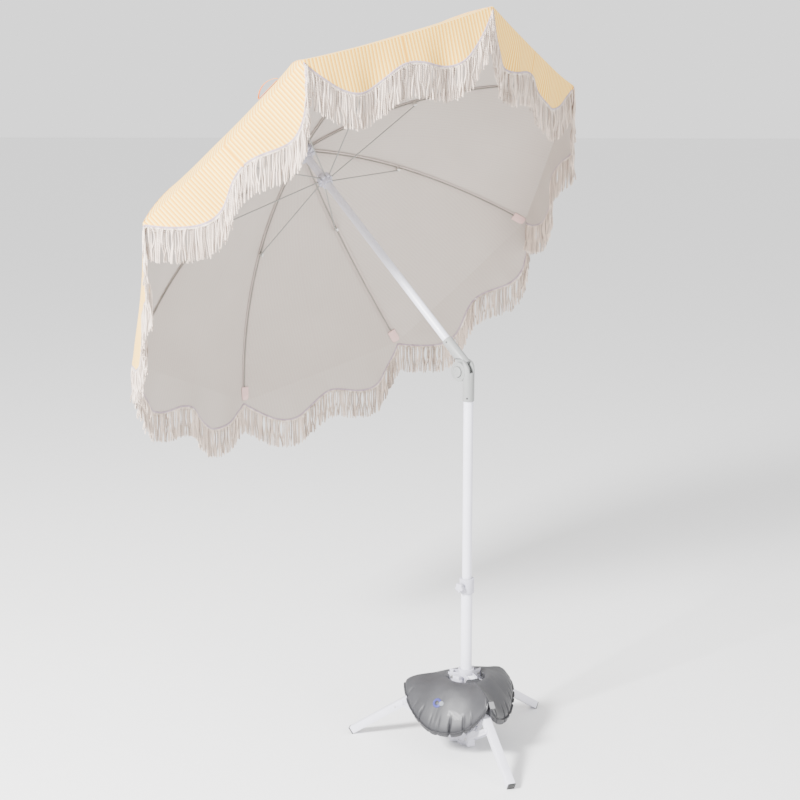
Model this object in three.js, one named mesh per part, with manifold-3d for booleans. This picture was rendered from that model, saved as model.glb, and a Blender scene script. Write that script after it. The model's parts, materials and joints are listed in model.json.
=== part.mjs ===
// Beach umbrella on a folding three-legged stand, millimetres, +Z up.
// The origin is on the ground, under the middle of the foot hub.
// The head leans at a push-button knuckle; its canopy is open and the stand's legs are spread.
import * as THREE from "three";
import { mergeVertices } from "three/addons/utils/BufferGeometryUtils.js";
import Module from "manifold-3d";

const wasm = await Module();
wasm.setup();

// ---------- driving dimensions ----------
const DEG = Math.PI / 180;
const ROUND = 24; // sides of a large round
const MIDDLE_ROUND = 14; // sides of a strap end or boss
const SMALL_ROUND = 10; // sides of a pin or rod head
const GAP = 0.3; // between pieces that touch

const LEGS = 3;
const FIRST_LEG_AZIMUTH = 171.6 * DEG;
const LEG_STEP = (2 * Math.PI) / LEGS;
const LEG_SIDE = 25; // square tube
const LEG_WALL = 1.6;
const LEG_PIVOT = { r: 45, z: 235 };
const LEG_BEHIND = 10; // tube behind its pivot
const FOOT_RADIUS = 396.2; // middle of the foot's end face, from the mast
const CAP_LIP = 4;
const CAP_PLUG = 14;
const BRACE_PIVOT = { r: 42, z: 28 };
const BRACE_JOINT_RADIUS = 215; // where a brace meets its leg
const BRACE_WIDTH = 18;
const BRACE_SHEET = 2.5;
const BRACE_INNER = LEG_SIDE / 2 + 0.7; // half the gap between a brace's two straps
const BRACE_WEB = { from: 20, to: 100, offset: 13 };
const PIN_RADIUS = 3;
const PIN_HOLE = 3.7;
const PIN_HEAD = { radius: 5.5, thickness: 2 };

const STAND_TUBE = { outer: 19, inner: 17.2, bottom: 12.4, top: 560 };
const FOOT_HUB = { radius: 28, plate: 12, collar: 26, height: 44, bore: 19.6 };
const LUG = { from: 20, to: 54, bottom: 12.05, top: 41, half: LEG_SIDE / 2 };
const LEG_HUB = { bottom: 208, top: 262, outer: 26.5, bore: 19.6 };
const EAR = { from: 20, to: 58, half: 16, inner: 13.4, sheet: 3 };
const KNOB_AZIMUTH = FIRST_LEG_AZIMUTH + LEG_STEP / 2;
const HUB_KNOB = { z: 234, stemFrom: 21, head: 40, radius: 19, thickness: 15, lobes: 5 };
const CLAMP = { bottom: 528, top: 577, outer: 24.5, neck: 16.8 };
const CLAMP_KNOB = { z: 553, stemFrom: 21, head: 30, radius: 16, thickness: 13, lobes: 5 };
const STEM_RADIUS = 4;
const STEM_HOLE = 4.7;
const BOSS_RADIUS = 9.2;

const LOWER_POLE = { outer: 16, inner: 14.6, bottom: 230, top: 1234 };
const PLUG = { flange: 14.5, spigot: 20, radius: 13.6 };

const PIVOT_HEIGHT = 1268.7; // of the knuckle
const PIVOT_OFFSET = 30; // of the knuckle from both poles' axes
const TILT = 51.03 * DEG; // lean at rest
const LEAN_AZIMUTH = 135.68 * DEG;
const KNUCKLE = { radius: 31.5, tongue: 30.5, inner: 9, outer: 20, clear: 32.3, shoulder: 45 };
const TONGUE_HALF = 8.6;
const LOWER_SLEEVE = { outer: 19, bore: 16.5, bottom: 1175, boreTop: 1235 };
const UPPER_SLEEVE = { outer: 18.3, bore: 14.5, top: 112, boreBottom: 47 };
const BOLT = { radius: 5, hole: 5.6, end: 14, head: 9, headHeight: 3 };
const BUTTON = { radius: 17.2, recess: 17.9, depth: 5.5, from: 18.2, to: 26 };

const UPPER_POLE = { outer: 14, inner: 12.7, bottom: 48, top: 1030 };
const RUNNER_LENGTH = 894.3; // strut pivots, along the head from the knuckle's plane
const RUNNER = { barrel: 19.5, bore: 14.7, below: 24, above: 20, flange: 27, half: 9 };
const STRUT_PIVOT_RADIUS = 22;
const CATCH = { radius: 4.5, hole: 5.1, from: 17.4, to: 23.4, below: 17 };

const RIBS = 8;
const FIRST_RIB_ANGLE = 139.29 * DEG; // about the head, from its downhill direction
const RIB_STEP = (2 * Math.PI) / RIBS;
const TIP_RADIUS = 900;
const TIP_LENGTH = 678.2;
const DOME_RADIUS = 1277; // of the arc that a rib's fabric follows
const CLOTH = 1.6;
const RIB_OFFSET = 6; // rib axis under the fabric's outer face
const RIB_RADIUS = 2.5;
const RIB_PIVOT_RADIUS = 30;
const RIB_BEHIND = 4;
const RIB_SHORT_OF_RIM = 12;
const RIB_STEPS = 10;
const STRUT_RADIUS = 2;
const STRUT_ASIDE = 6.5; // strut's plane beside its rib's plane
const STRUT_EYE = { radius: 4.5, thickness: 3 };
const JOINT_RADIUS = 424; // strut joint on the rib
const JOINT_DROP = 8; // of the joint's pin under the rib's axis
const CLIP = { length: 12, width: 7.2, above: 2, below: 12.5 }; // about the rib's axis
const CROWN = { radius: 38, bottom: 1020, top: 1045, barrel: 19, barrelBottom: 1004, bore: 14.5 };
const SLOT_HALF = 3.9;
const FINIAL = { stem: 6, hole: 6.6, cap: 21, height: 16 };
const CANOPY_HOLE = 9;

const VALANCE = { gap: 2.6, edge: 97, lobe: 50, power: 6, fringe: 115, steps: 10 };
const VALANCE_SPLIT = 0.2; // half the gap between neighbours
const CORNER_BAR = 6;

const BAG = { inner: 62, top: 222, up: 22, down: 52 };
const BAG_RIDGE = { outer: 212, drop: 26, power: 1.3 }; // over each leg
const BAG_LOBE = { outer: 168, spread: 18, drop: 112, power: 1.5 }; // between two legs
const BAG_RINGS = 7;
const BAG_COLUMNS = 24;
const BAG_OVER_LEG = 2;
const BAG_CHANNEL_HALF = 20;
const VALVE = { azimuth: 228 * DEG, r: 136, radius: 15, height: 9 };

// ---------- materials ----------
const finish = (color, roughness, metalness) =>
  new THREE.MeshStandardMaterial({ color, roughness, metalness });
const whitePaint = () => finish("#e9e7f1", 0.4, 0.1);
const whitePlastic = () => finish("#eceaf2", 0.45, 0);
const greyPlastic = () => finish("#c9c9c9", 0.5, 0);
const steel = () => finish("#a9a79f", 0.35, 0.8);
const ribSteel = () => finish("#8b867a", 0.4, 0.6);
const blackPlastic = () => finish("#161616", 0.5, 0);
const yellowCloth = () => finish("#f3dc96", 0.85, 0);
const creamCloth = () => finish("#e8dfce", 0.9, 0);
const greyVinyl = () => finish("#7c7c7e", 0.4, 0);

// ---------- solids ----------
// A closed geometry as a manifold solid.
function solid(geometry) {
  const bare = geometry.index ? geometry.toNonIndexed() : geometry.clone();
  bare.deleteAttribute("normal");
  bare.deleteAttribute("uv");
  const merged = mergeVertices(bare, 1e-3);
  return new wasm.Manifold(
    new wasm.Mesh({
      numProp: 3,
      vertProperties: new Float32Array(merged.attributes.position.array),
      triVerts: new Uint32Array(merged.index.array),
    }),
  );
}

// A manifold solid, or a geometry, as a geometry ready to draw.
function drawable(shape) {
  if (shape.isBufferGeometry) return shape;
  const { vertProperties, triVerts } = shape.getMesh();
  const geometry = new THREE.BufferGeometry();
  geometry.setAttribute("position", new THREE.BufferAttribute(new Float32Array(vertProperties), 3));
  geometry.setIndex(new THREE.BufferAttribute(new Uint32Array(triVerts), 1));
  const flat = geometry.toNonIndexed();
  flat.computeVertexNormals();
  return flat;
}

function join(first, ...others) {
  return others.reduce((whole, piece) => whole.add(piece), first);
}

function cut(first, ...others) {
  return others.reduce((whole, piece) => whole.subtract(piece), first);
}

function block(x0, x1, y0, y1, z0, z1) {
  const box = new THREE.BoxGeometry(x1 - x0, y1 - y0, z1 - z0);
  return solid(box.translate((x0 + x1) / 2, (y0 + y1) / 2, (z0 + z1) / 2));
}

// Turned about Z from [radius, z] points that run upwards along the outside.
function turned(points, sides = ROUND) {
  const outline = points.map(([r, z]) => new THREE.Vector2(r, z));
  return solid(new THREE.LatheGeometry(outline, sides).rotateX(Math.PI / 2));
}

function upright(radius, z0, z1, sides = ROUND) {
  return turned([[0, z0], [radius, z0], [radius, z1], [0, z1]], sides);
}

function pipe(outer, inner, z0, z1) {
  return turned([[inner, z0], [outer, z0], [outer, z1], [inner, z1], [inner, z0]]);
}

// A cylinder along Y through (x, z).
function crosswise(radius, x, z, y0, y1, sides = ROUND) {
  return upright(radius, y0, y1, sides).rotate([-90, 0, 0]).translate([x, 0, z]);
}

// A cylinder along X at height z.
function outwards(radius, z, x0, x1, sides = ROUND) {
  return upright(radius, x0, x1, sides).rotate([0, 90, 0]).translate([0, 0, z]);
}

// A closed surface from rings of points, each joined to the next; the ends are capped or joined.
function lofted(rings, around) {
  const positions = rings.flat(2);
  const across = rings[0].length;
  const faces = [];
  const count = around ? rings.length : rings.length - 1;
  for (let i = 0; i < count; i += 1) {
    const here = i * across;
    const next = ((i + 1) % rings.length) * across;
    for (let j = 0; j < across; j += 1) {
      const k = (j + 1) % across;
      faces.push(here + j, next + j, next + k, here + j, next + k, here + k);
    }
  }
  const geometry = new THREE.BufferGeometry();
  geometry.setAttribute("position", new THREE.Float32BufferAttribute(positions, 3));
  geometry.setIndex(faces);
  return solid(geometry);
}

const object = new THREE.Group();

function add(group, name, shape, material) {
  const mesh = new THREE.Mesh(drawable(shape), material);
  mesh.name = name;
  group.add(mesh);
  return mesh;
}

function childGroup(parent, turn = 0) {
  const group = new THREE.Group();
  group.rotation.z = turn;
  parent.add(group);
  return group;
}

// ---------- stand ----------
const legSlope = Math.atan2(LEG_PIVOT.z, FOOT_RADIUS - LEG_PIVOT.r);
// The lower edge of the end face rests on the ground, so the end's middle is half a side up.
const footHeight = (LEG_SIDE / 2) * Math.cos(legSlope);
const legAngle = Math.atan2(LEG_PIVOT.z - footHeight, FOOT_RADIUS - LEG_PIVOT.r);
const legLength = Math.hypot(LEG_PIVOT.z - footHeight, FOOT_RADIUS - LEG_PIVOT.r);
const jointZ = LEG_PIVOT.z - (BRACE_JOINT_RADIUS - LEG_PIVOT.r) * Math.tan(legAngle);
const braceRun = BRACE_JOINT_RADIUS - BRACE_PIVOT.r;
const braceRise = jointZ - BRACE_PIVOT.z;
const braceLength = Math.hypot(braceRun, braceRise);
const braceAngle = Math.atan2(braceRise, braceRun);

const tiltedAt = (parent, pivot, angle) => {
  const group = childGroup(parent);
  group.position.set(pivot.r, 0, pivot.z);
  group.rotation.y = angle;
  return group;
};

// A riveted pin along Y: a shank and two heads, from -reach to reach between the heads.
function rivet(reach) {
  const end = reach + PIN_HEAD.thickness;
  return turned(
    [
      [0, -end],
      [PIN_HEAD.radius, -end],
      [PIN_HEAD.radius, -reach],
      [PIN_RADIUS, -reach],
      [PIN_RADIUS, reach],
      [PIN_HEAD.radius, reach],
      [PIN_HEAD.radius, end],
      [0, end],
    ],
    SMALL_ROUND,
  ).rotate([90, 0, 0]);
}

function legTube() {
  const half = LEG_SIDE / 2;
  const hollow = half - LEG_WALL;
  const end = legLength - CAP_LIP - GAP;
  return cut(
    block(-LEG_BEHIND, end, -half, half, -half, half),
    block(-LEG_BEHIND - 1, end + 1, -hollow, hollow, -hollow, hollow),
    crosswise(PIN_HOLE, 0, 0, -LEG_SIDE, LEG_SIDE, SMALL_ROUND),
  );
}

function footCap() {
  const half = LEG_SIDE / 2;
  const plug = half - LEG_WALL - GAP;
  const lip = block(legLength - CAP_LIP, legLength, -half, half, -half, half);
  const insert = block(legLength - CAP_LIP - CAP_PLUG, legLength - 1, -plug, plug, -plug, plug);
  const core = plug - LEG_WALL;
  const back = legLength - CAP_LIP - CAP_PLUG - 1;
  return join(lip, insert).subtract(block(back, legLength - CAP_LIP, -core, core, -core, core));
}

// Two straps either side of the leg, joined by a web above them, with a pin hole at the hub.
function brace() {
  const half = BRACE_WIDTH / 2;
  const outer = BRACE_INNER + BRACE_SHEET;
  const strap = (y0) => {
    const y1 = y0 + BRACE_SHEET;
    return cut(
      join(
        block(0, braceLength, y0, y1, -half, half),
        crosswise(half, 0, 0, y0, y1, MIDDLE_ROUND),
        crosswise(half, braceLength, 0, y0, y1, MIDDLE_ROUND),
        block(BRACE_WEB.from, BRACE_WEB.to, y0, y1, 0, BRACE_WEB.offset + BRACE_SHEET),
      ),
      crosswise(PIN_HOLE, 0, 0, -LEG_SIDE, LEG_SIDE, SMALL_ROUND),
    );
  };
  const web = block(
    BRACE_WEB.from, BRACE_WEB.to, -outer, outer, BRACE_WEB.offset, BRACE_WEB.offset + BRACE_SHEET,
  );
  const rivetHead = (y0, y1) => crosswise(PIN_HEAD.radius, braceLength, 0, y0, y1, SMALL_ROUND);
  return join(
    strap(BRACE_INNER),
    strap(-outer),
    web,
    rivetHead(outer - 0.5, outer + PIN_HEAD.thickness),
    rivetHead(-outer - PIN_HEAD.thickness, 0.5 - outer),
  );
}

const legTurn = (k) => FIRST_LEG_AZIMUTH + k * LEG_STEP;
const degrees = (angle) => angle / DEG;

// A clamping screw: a stem that ends in a lobed grip, along X at height z.
function lobedKnob({ z, stemFrom, head, radius, thickness, lobes }) {
  const outline = new THREE.Shape();
  const steps = lobes * 6;
  for (let i = 0; i < steps; i += 1) {
    const angle = (i / steps) * 2 * Math.PI;
    const r = radius * (0.86 + 0.14 * Math.cos(lobes * angle));
    const point = [r * Math.cos(angle), r * Math.sin(angle)];
    if (i === 0) outline.moveTo(...point);
    else outline.lineTo(...point);
  }
  const grip = solid(new THREE.ExtrudeGeometry(outline, { depth: thickness, bevelEnabled: false }));
  return join(
    grip.rotate([0, 90, 0]).translate([head, 0, z]),
    outwards(STEM_RADIUS, z, stemFrom, head + 1, SMALL_ROUND),
  );
}

function buildStand() {
  const { outer, inner, bottom, top } = STAND_TUBE;
  add(object, "stand_tube", pipe(outer, inner, bottom, top), whitePaint());

  let hub = join(
    upright(FOOT_HUB.radius, 0, FOOT_HUB.plate),
    pipe(FOOT_HUB.collar, FOOT_HUB.bore, FOOT_HUB.plate - 1, FOOT_HUB.height),
  );
  for (let k = 0; k < LEGS; k += 1) {
    const lug = cut(
      block(LUG.from + 2, LUG.to, -LUG.half, LUG.half, 4, LUG.top),
      crosswise(PIN_HOLE, BRACE_PIVOT.r, BRACE_PIVOT.z, -LEG_SIDE, LEG_SIDE, SMALL_ROUND),
    );
    hub = hub.add(lug.rotate([0, 0, degrees(legTurn(k))]));
  }
  hub = hub.subtract(upright(FOOT_HUB.bore, FOOT_HUB.plate, FOOT_HUB.height + 1));
  add(object, "foot_hub", hub, whitePaint());

  const knobHole = outwards(STEM_HOLE, CLAMP_KNOB.z, 12, 40, SMALL_ROUND);
  const seat = STAND_TUBE.top + GAP;
  const collar = turned([
    [FOOT_HUB.bore, CLAMP.bottom],
    [CLAMP.outer, CLAMP.bottom],
    [CLAMP.outer, CLAMP.top],
    [CLAMP.neck, CLAMP.top],
    [CLAMP.neck, seat],
    [FOOT_HUB.bore, seat],
    [FOOT_HUB.bore, CLAMP.bottom],
  ]).subtract(knobHole);
  const side = childGroup(object, KNOB_AZIMUTH);
  add(side, "clamp_collar", collar, whitePlastic());
  add(side, "clamp_knob", lobedKnob(CLAMP_KNOB), whitePlastic());

  const ears = [];
  for (let k = 0; k < LEGS; k += 1) {
    for (const y0 of [EAR.inner, -EAR.inner - EAR.sheet]) {
      const z = LEG_PIVOT.z;
      const ear = cut(
        block(EAR.from, EAR.to, y0, y0 + EAR.sheet, z - EAR.half, z + EAR.half),
        crosswise(PIN_HOLE, LEG_PIVOT.r, z, -LEG_SIDE, LEG_SIDE, SMALL_ROUND),
      );
      ears.push(ear.rotate([0, 0, degrees(legTurn(k) - KNOB_AZIMUTH)]));
    }
  }
  const legHub = cut(
    join(
      pipe(LEG_HUB.outer, LEG_HUB.bore, LEG_HUB.bottom, LEG_HUB.top),
      outwards(BOSS_RADIUS, HUB_KNOB.z, LEG_HUB.outer - 3, HUB_KNOB.head - 2, MIDDLE_ROUND),
      ...ears,
    ),
    outwards(STEM_HOLE, HUB_KNOB.z, 12, 60, SMALL_ROUND),
  );
  add(side, "leg_hub", legHub, whitePlastic());
  add(side, "hub_knob", lobedKnob(HUB_KNOB), whitePlastic());

  for (let k = 0; k < LEGS; k += 1) {
    const arm = childGroup(object, legTurn(k));
    const leg = tiltedAt(arm, LEG_PIVOT, legAngle);
    add(leg, `leg_${k + 1}`, legTube(), whitePaint());
    add(leg, `foot_cap_${k + 1}`, footCap(), blackPlastic());
    add(leg, `hub_pin_${k + 1}`, rivet(EAR.inner + EAR.sheet + GAP), steel());
    const strut = tiltedAt(arm, BRACE_PIVOT, -braceAngle);
    add(strut, `brace_${k + 1}`, brace(), whitePaint());
    add(strut, `brace_pin_${k + 1}`, rivet(BRACE_INNER + BRACE_SHEET + GAP), steel());
  }
}

// ---------- water bag ----------
// A ring-shaped bag that lies over the legs and hangs between them. Section at an azimuth: share
// 0 is the hole's edge and 1 the outer seam.
function bagSection(azimuth) {
  const { lerp } = THREE.MathUtils;
  const overLegs = 0.5 + 0.5 * Math.cos(LEGS * (azimuth - FIRST_LEG_AZIMUTH));
  const lobe = BAG_LOBE.outer + BAG_LOBE.spread * Math.cos(azimuth - KNOB_AZIMUTH);
  const outer = lerp(lobe, BAG_RIDGE.outer, overLegs ** 0.7);
  const drop = lerp(BAG_LOBE.drop, BAG_RIDGE.drop, overLegs ** 0.8);
  const power = lerp(BAG_LOBE.power, BAG_RIDGE.power, overLegs);
  return (share) => {
    const middle = BAG.top - drop * share ** power;
    const swell = (1 - Math.abs(2 * share ** 0.9 - 1) ** 3) ** (1 / 3);
    return {
      r: lerp(BAG.inner, outer, share),
      top: middle + BAG.up * swell,
      bottom: middle - BAG.down * swell,
    };
  };
}

function waterBag() {
  const rings = [];
  for (let j = 0; j < BAG_COLUMNS; j += 1) {
    const azimuth = FIRST_LEG_AZIMUTH - (j / BAG_COLUMNS) * 2 * Math.PI;
    const at = (r, z) => [r * Math.cos(azimuth), r * Math.sin(azimuth), z];
    const section = bagSection(azimuth);
    const levels = [];
    for (let i = 0; i <= BAG_RINGS; i += 1)
      levels.push(section((1 - Math.cos((i / BAG_RINGS) * Math.PI)) / 2));
    const over = levels.map(({ r, top }) => at(r, top));
    const under = levels.slice(1, -1).reverse().map(({ r, bottom }) => at(r, bottom));
    rings.push([...over, ...under]);
  }
  let bag = lofted(rings, true);
  const far = BAG_RIDGE.outer + 60;
  for (let k = 0; k < LEGS; k += 1) {
    const channel = block(-far, far, -BAG_CHANNEL_HALF, BAG_CHANNEL_HALF, -400, LEG_SIDE / 2 + BAG_OVER_LEG)
      .rotate([0, degrees(legAngle), 0])
      .translate([LEG_PIVOT.r, 0, LEG_PIVOT.z])
      .intersect(block(0, far, -far, far, -200, 600));
    bag = bag.subtract(channel.rotate([0, 0, degrees(legTurn(k))]));
  }
  return bag;
}

function buildBag() {
  add(object, "water_bag", waterBag(), greyVinyl());
  const { azimuth, r, radius, height } = VALVE;
  const section = bagSection(azimuth);
  const share = (r - BAG.inner) / (section(1).r - BAG.inner);
  const above = section(share - 0.06);
  const below = section(share + 0.06);
  const slope = Math.atan2(above.top - below.top, below.r - above.r);
  const arm = childGroup(object, azimuth);
  const seat = tiltedAt(arm, { r, z: section(share).top }, slope);
  const lift = 3.4;
  const valve = turned([
    [0, lift],
    [radius, lift],
    [radius, lift + 3],
    [radius * 0.6, lift + 4.5],
    [radius * 0.55, lift + height],
    [0, lift + height],
  ]);
  add(seat, "bag_valve", valve, blackPlastic());
}

// ---------- mast ----------
const lean = () => childGroup(object, LEAN_AZIMUTH);

function tiltLower() {
  const { outer, bore, bottom, boreTop } = LOWER_SLEEVE;
  const x = PIVOT_OFFSET;
  const z = PIVOT_HEIGHT;
  const cheek = (y0, y1) => crosswise(KNUCKLE.radius, x, z, y0, y1, 32);
  const shoulder = (y0, y1) =>
    upright(outer, z - 5, z + KNUCKLE.shoulder)
      .intersect(crosswise(KNUCKLE.shoulder - 2 * GAP, x, z, y0, y1, 48));
  return cut(
    join(
      upright(outer, bottom, z - GAP),
      cheek(KNUCKLE.inner, KNUCKLE.outer),
      cheek(-KNUCKLE.outer, -KNUCKLE.inner),
      shoulder(KNUCKLE.inner, KNUCKLE.outer),
      shoulder(-KNUCKLE.outer, -KNUCKLE.inner),
    ),
    upright(bore, bottom - 1, boreTop),
    crosswise(KNUCKLE.clear, x, z, -KNUCKLE.inner, KNUCKLE.inner, 32),
    crosswise(BOLT.hole, x, z, -40, 40, SMALL_ROUND),
    crosswise(BUTTON.recess, x, z, KNUCKLE.outer - BUTTON.depth, KNUCKLE.outer + 5),
  );
}

function tiltUpper() {
  const { outer, bore, top, boreBottom } = UPPER_SLEEVE;
  const x = PIVOT_OFFSET;
  const clearCheek = (y0, y1) => crosswise(KNUCKLE.shoulder, x, 0, y0, y1, 48);
  return cut(
    join(
      cut(
        upright(outer, GAP, top),
        clearCheek(TONGUE_HALF, 40),
        clearCheek(-40, -TONGUE_HALF),
      ),
      crosswise(KNUCKLE.tongue, x, 0, -TONGUE_HALF, TONGUE_HALF, 32),
    ),
    upright(bore, boreBottom, top + 1),
    crosswise(BOLT.hole, x, 0, -40, 40, SMALL_ROUND),
  );
}

function buildMast() {
  const mast = lean();
  const { outer, inner, bottom, top } = LOWER_POLE;
  const plugTop = bottom - GAP;
  const plug = turned([
    [0, plugTop - PLUG.flange],
    [outer, plugTop - PLUG.flange],
    [outer, plugTop],
    [PLUG.radius, plugTop],
    [PLUG.radius, plugTop + PLUG.spigot],
    [0, plugTop + PLUG.spigot],
  ]);
  add(mast, "pole_plug", plug, blackPlastic());
  add(mast, "lower_pole", pipe(outer, inner, bottom, top), whitePaint());
  add(mast, "tilt_lower", tiltLower(), greyPlastic());
  const bolt = join(
    crosswise(BOLT.radius, PIVOT_OFFSET, PIVOT_HEIGHT, -KNUCKLE.outer - 1, BOLT.end, SMALL_ROUND),
    crosswise(
      BOLT.head, PIVOT_OFFSET, PIVOT_HEIGHT,
      -KNUCKLE.outer - GAP - BOLT.headHeight, -KNUCKLE.outer - GAP,
    ),
  );
  add(mast, "tilt_bolt", bolt, steel());
  const button = turned([
    [0, BUTTON.from],
    [BUTTON.radius, BUTTON.from],
    [BUTTON.radius, BUTTON.to - 1.5],
    [BUTTON.radius - 1.5, BUTTON.to],
    [0, BUTTON.to],
  ]).rotate([-90, 0, 0]).translate([PIVOT_OFFSET, 0, PIVOT_HEIGHT]);
  add(mast, "tilt_button", button, greyPlastic());
}

// ---------- head ----------
// The head's own frame: x downhill, y along the knuckle's bolt, z along the upper pole.
const head = childGroup(object, LEAN_AZIMUTH);
head.position.set(
  PIVOT_OFFSET * Math.cos(LEAN_AZIMUTH), PIVOT_OFFSET * Math.sin(LEAN_AZIMUTH), PIVOT_HEIGHT,
);
const leaning = childGroup(head);
leaning.rotation.y = TILT;
const poleFrame = childGroup(leaning);
poleFrame.position.x = -PIVOT_OFFSET;
object.updateMatrixWorld(true);

const domeCentre = TIP_LENGTH - Math.sqrt(DOME_RADIUS ** 2 - TIP_RADIUS ** 2);
const rimAngle = Math.asin(TIP_RADIUS / DOME_RADIUS);
const ribSphere = DOME_RADIUS - RIB_OFFSET;

// Point on a sphere about the dome's centre, at an angle from the head's axis: [radius, length].
const onDome = (radius, angle) => [
  radius * Math.sin(angle),
  domeCentre + radius * Math.cos(angle),
];

class Meridian extends THREE.Curve {
  constructor(radius, from, to) {
    super();
    Object.assign(this, { radius, from, to });
  }

  getPoint(t, target = new THREE.Vector3()) {
    const [r, length] = onDome(this.radius, THREE.MathUtils.lerp(this.from, this.to, t));
    return target.set(r, 0, length);
  }
}

function circleShape(radius, sides) {
  const shape = new THREE.Shape();
  for (let i = 0; i < sides; i += 1) {
    const angle = ((i + 0.5) / sides) * 2 * Math.PI;
    const point = [radius * Math.cos(angle), radius * Math.sin(angle)];
    if (i === 0) shape.moveTo(...point);
    else shape.lineTo(...point);
  }
  return shape;
}

const jointAngle = Math.asin(JOINT_RADIUS / ribSphere);
const [jointRadius, jointLength] = onDome(ribSphere - JOINT_DROP, jointAngle);

function rib() {
  const from = Math.asin((RIB_PIVOT_RADIUS - RIB_BEHIND) / ribSphere);
  const to = rimAngle - RIB_SHORT_OF_RIM / DOME_RADIUS;
  const rod = new THREE.ExtrudeGeometry(circleShape(RIB_RADIUS, 6), {
    steps: RIB_STEPS,
    bevelEnabled: false,
    extrudePath: new Meridian(ribSphere, from, to),
  });
  const [x, z] = onDome(ribSphere, jointAngle);
  const { length, width, above, below } = CLIP;
  const clip = block(-length / 2, length / 2, -width / 2, width / 2, -below, above)
    .rotate([0, degrees(jointAngle), 0])
    .translate([x, 0, z]);
  return join(solid(rod), clip);
}

function strut() {
  const rise = jointLength - RUNNER_LENGTH;
  const run = jointRadius - STRUT_PIVOT_RADIUS;
  const length = Math.hypot(rise, run);
  const half = STRUT_EYE.thickness / 2;
  return join(
    outwards(STRUT_RADIUS, 0, 0, length, 8),
    crosswise(STRUT_EYE.radius, length, 0, -half, half, SMALL_ROUND),
    crosswise(STRUT_EYE.radius - 1, 0, 0, -half, half, SMALL_ROUND),
  )
    .rotate([0, -degrees(Math.atan2(rise, run)), 0])
    .translate([STRUT_PIVOT_RADIUS, STRUT_ASIDE, RUNNER_LENGTH]);
}

function aroundHead(shape) {
  const turns = [];
  for (let k = 0; k < RIBS; k += 1)
    turns.push(shape.rotate([0, 0, degrees(FIRST_RIB_ANGLE + k * RIB_STEP)]));
  return turns;
}

function crown() {
  const { radius, bottom, top, barrel, barrelBottom, bore } = CROWN;
  const slot = block(22, radius + 5, -SLOT_HALF, SLOT_HALF, bottom - 1, top + 1);
  return cut(
    join(upright(radius, bottom, top), upright(barrel, barrelBottom, bottom + 1)),
    upright(bore, barrelBottom - 1, UPPER_POLE.top + GAP),
    upright(FINIAL.hole, UPPER_POLE.top - 1, top + 1),
    ...aroundHead(slot),
  );
}

function runner() {
  const { barrel, bore, below, above, flange, half } = RUNNER;
  const z = RUNNER_LENGTH;
  const slot = block(
    barrel - 1.2, flange + 3, STRUT_ASIDE - 3.2, STRUT_ASIDE + 3.2, z - half - 1, z + half + 1,
  );
  return cut(
    join(
      pipe(barrel - 2, bore, z - below, z + above),
      pipe(barrel, bore, z - below, z - half + 1),
      pipe(flange, bore, z - half, z + half),
    ),
    outwards(CATCH.hole, z - CATCH.below, 10, 30, SMALL_ROUND),
    ...aroundHead(slot),
  );
}

// One closed shell with flat chords between the ribs and a hole for the finial's stem.
function canopy() {
  const rings = [];
  const angles = [];
  const first = CANOPY_HOLE / DOME_RADIUS;
  for (let i = 0; i <= RIB_STEPS; i += 1) angles.push(first + ((rimAngle - first) * i) / RIB_STEPS);
  for (let k = 0; k < RIBS; k += 1) {
    const azimuth = FIRST_RIB_ANGLE - k * RIB_STEP;
    const place = (radius) => (angle) => {
      const [r, z] = onDome(radius, angle);
      return [r * Math.cos(azimuth), r * Math.sin(azimuth), z];
    };
    const outside = angles.map(place(DOME_RADIUS));
    const inside = [...angles].reverse().map(place(DOME_RADIUS - CLOTH));
    rings.push([...outside, ...inside]);
  }
  return lofted(rings, true);
}

// ---------- valances ----------
// Each one hangs from the two half edges beside its rib's tip, in the upright planes through them.
function tipPoint(k) {
  const angle = FIRST_RIB_ANGLE + k * RIB_STEP;
  const point = new THREE.Vector3(
    TIP_RADIUS * Math.cos(angle), TIP_RADIUS * Math.sin(angle), TIP_LENGTH,
  );
  return poleFrame.localToWorld(point);
}

// Depth of the cloth flap at a share of the way from one tip to the next.
function flapDepth(share) {
  const rise = 1 - Math.abs(2 * share - 1) ** VALANCE.power;
  return VALANCE.edge * rise + (VALANCE.lobe * (1 - Math.cos(4 * Math.PI * share))) / 2;
}

function halfValance(tip, neighbour) {
  const along = neighbour.clone().sub(tip);
  const length = along.length();
  along.normalize();
  const down = new THREE.Vector3(0, 0, -1);
  down.addScaledVector(along, -down.dot(along)).normalize();
  const outline = new THREE.Shape();
  const end = length / 2 - VALANCE_SPLIT;
  const plumb = along.z / down.z; // sideways run of the upright line under the tip
  outline.moveTo(plumb * VALANCE.gap - 1, VALANCE.gap);
  outline.lineTo(end, VALANCE.gap);
  for (let i = VALANCE.steps; i >= 0; i -= 1) {
    const x = THREE.MathUtils.lerp(plumb * VALANCE.fringe - 1, end, i / VALANCE.steps);
    outline.lineTo(x, flapDepth(Math.max(0, x / length)) + VALANCE.fringe);
  }
  const flap = new THREE.ExtrudeGeometry(outline, { depth: CLOTH, bevelEnabled: false });
  const across = along.clone().cross(down);
  const place = new THREE.Matrix4().makeBasis(along, down, across);
  flap.translate(0, 0, -CLOTH / 2).applyMatrix4(place);
  return solid(flap.translate(tip.x, tip.y, tip.z));
}

function valance(k) {
  const tip = tipPoint(k);
  const half = CORNER_BAR / 2;
  const bar = block(-half, half, -half, half, -VALANCE.fringe, -VALANCE.gap - 3)
    .translate([tip.x, tip.y, tip.z]);
  return join(halfValance(tip, tipPoint(k + 1)), halfValance(tip, tipPoint(k - 1)), bar);
}

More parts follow.
